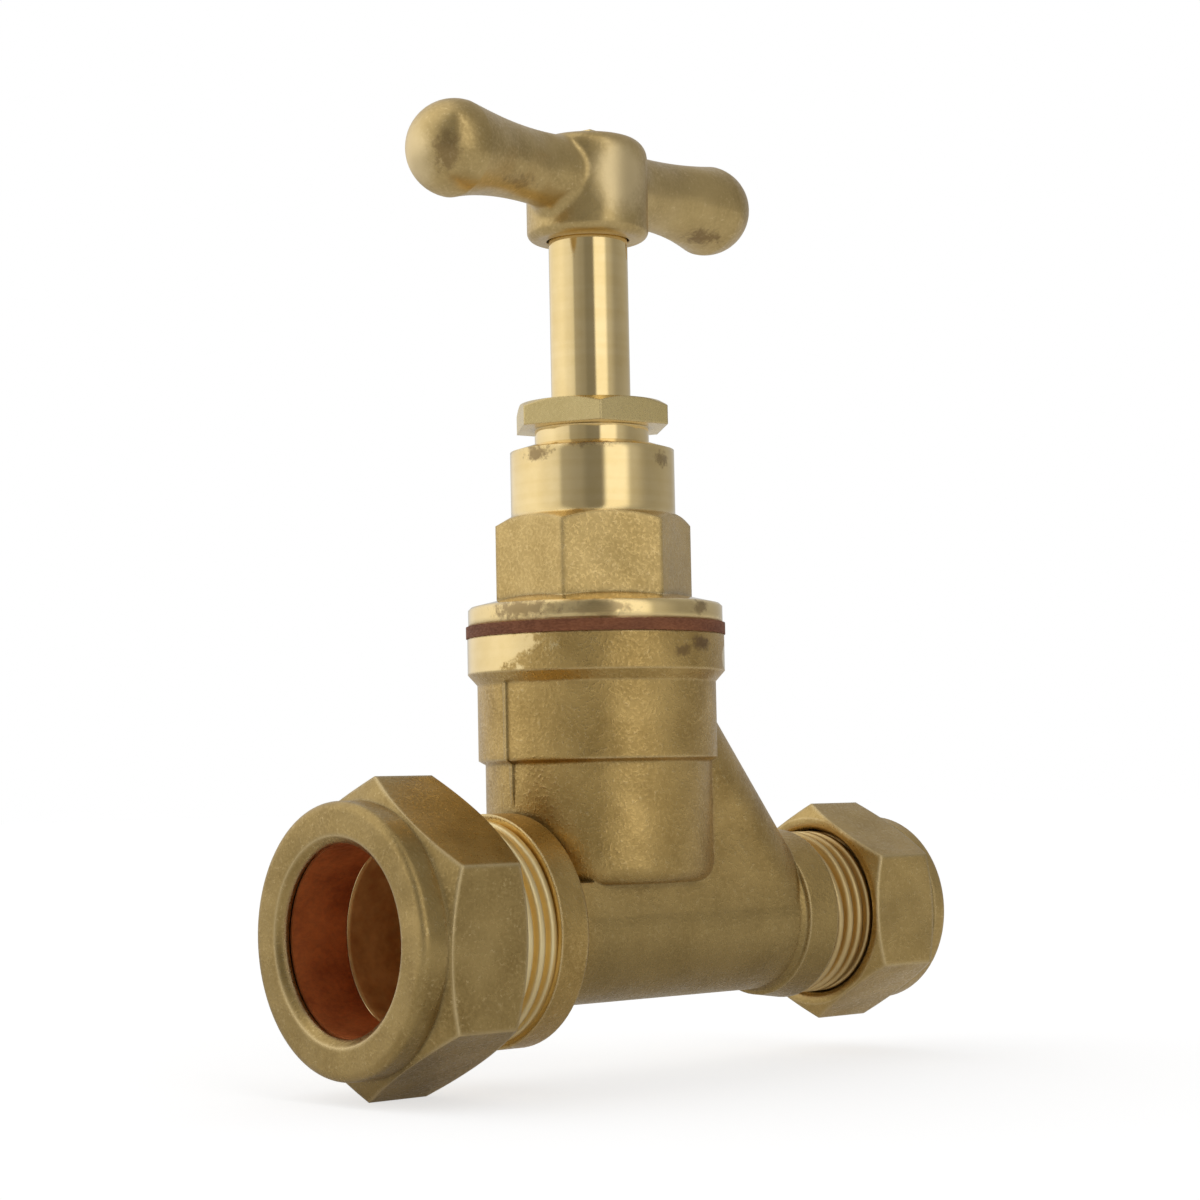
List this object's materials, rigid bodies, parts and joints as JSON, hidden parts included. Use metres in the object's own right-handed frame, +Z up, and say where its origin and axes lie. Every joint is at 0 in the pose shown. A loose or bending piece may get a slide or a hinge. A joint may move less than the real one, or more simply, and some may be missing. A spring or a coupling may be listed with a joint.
{
  "type": "stopcock",
  "caption": "Brass screw-down stopcock with a crutch handle on a tall spindle, a hexagon bonnet and gland nut, and a compression nut with a copper olive at each pipe end.",
  "frame": {"origin": "pipe stop of the inlet socket, on the pipe axis", "axes": "+X along the pipe from inlet to outlet, +Z up the spindle to the crutch handle"},
  "size_m": [0.091, 0.0332, 0.117],
  "materials": {
    "stamped_brass": "matt, sand-textured",
    "turned_brass": "bright turned",
    "copper": "satin copper",
    "fibre": "matt red-brown fibre",
    "packing": "matt greased yarn",
    "rubber": "matt"
  },
  "bodies": {
    "valve_body": {"body": "stamped_brass", "bonnet_washer": "fibre", "bonnet": "turned_brass", "gland_packing": "packing", "gland_nut": "turned_brass"},
    "jumper_valve": {"jumper": "turned_brass", "jumper_washer": "rubber", "jumper_nut": "turned_brass"},
    "spindle_set": {"spindle": "turned_brass", "crutch_handle": "stamped_brass"},
    "inlet_ring": {"inlet_olive": "copper"},
    "inlet_compression_nut": {"inlet_nut": "stamped_brass"},
    "outlet_ring": {"outlet_olive": "copper"},
    "outlet_compression_nut": {"outlet_nut": "stamped_brass"}
  },
  "joints": [
    {"name": "jumper_lift", "type": "slide", "parent": "valve_body", "child": "jumper_valve", "axis": [0, 0, 1], "range_m": [-0.0075, 0.0005]},
    {"name": "spindle_turn", "type": "hinge", "parent": "jumper_valve", "child": "spindle_set", "pos_m": [0.015, 0, 0.06], "axis": [0, 0, 1], "range_deg": [-1350.5, 90.5]},
    {"name": "inlet_olive_slide", "type": "slide", "parent": "valve_body", "child": "inlet_ring", "axis": [1, 0, 0], "range_m": [-0.00272, 0]},
    {"name": "inlet_nut_turn", "type": "hinge", "parent": "inlet_ring", "child": "inlet_compression_nut", "pos_m": [-0.02, 0, 0], "axis": [1, 0, 0], "range_deg": [-540.5, 0]},
    {"name": "outlet_olive_slide", "type": "slide", "parent": "valve_body", "child": "outlet_ring", "axis": [-1, 0, 0], "range_m": [-0.00272, 0]},
    {"name": "outlet_nut_turn", "type": "hinge", "parent": "outlet_ring", "child": "outlet_compression_nut", "pos_m": [0.06, 0, 0], "axis": [-1, 0, 0], "range_deg": [-540.5, 0]}
  ],
  "couplings": [
    {"joint": "spindle_turn", "follows": "jumper_lift", "rad_per_m": 3141.6},
    {"joint": "inlet_nut_turn", "follows": "inlet_olive_slide", "rad_per_m": 3463.7},
    {"joint": "outlet_nut_turn", "follows": "outlet_olive_slide", "rad_per_m": 3463.7}
  ]
}
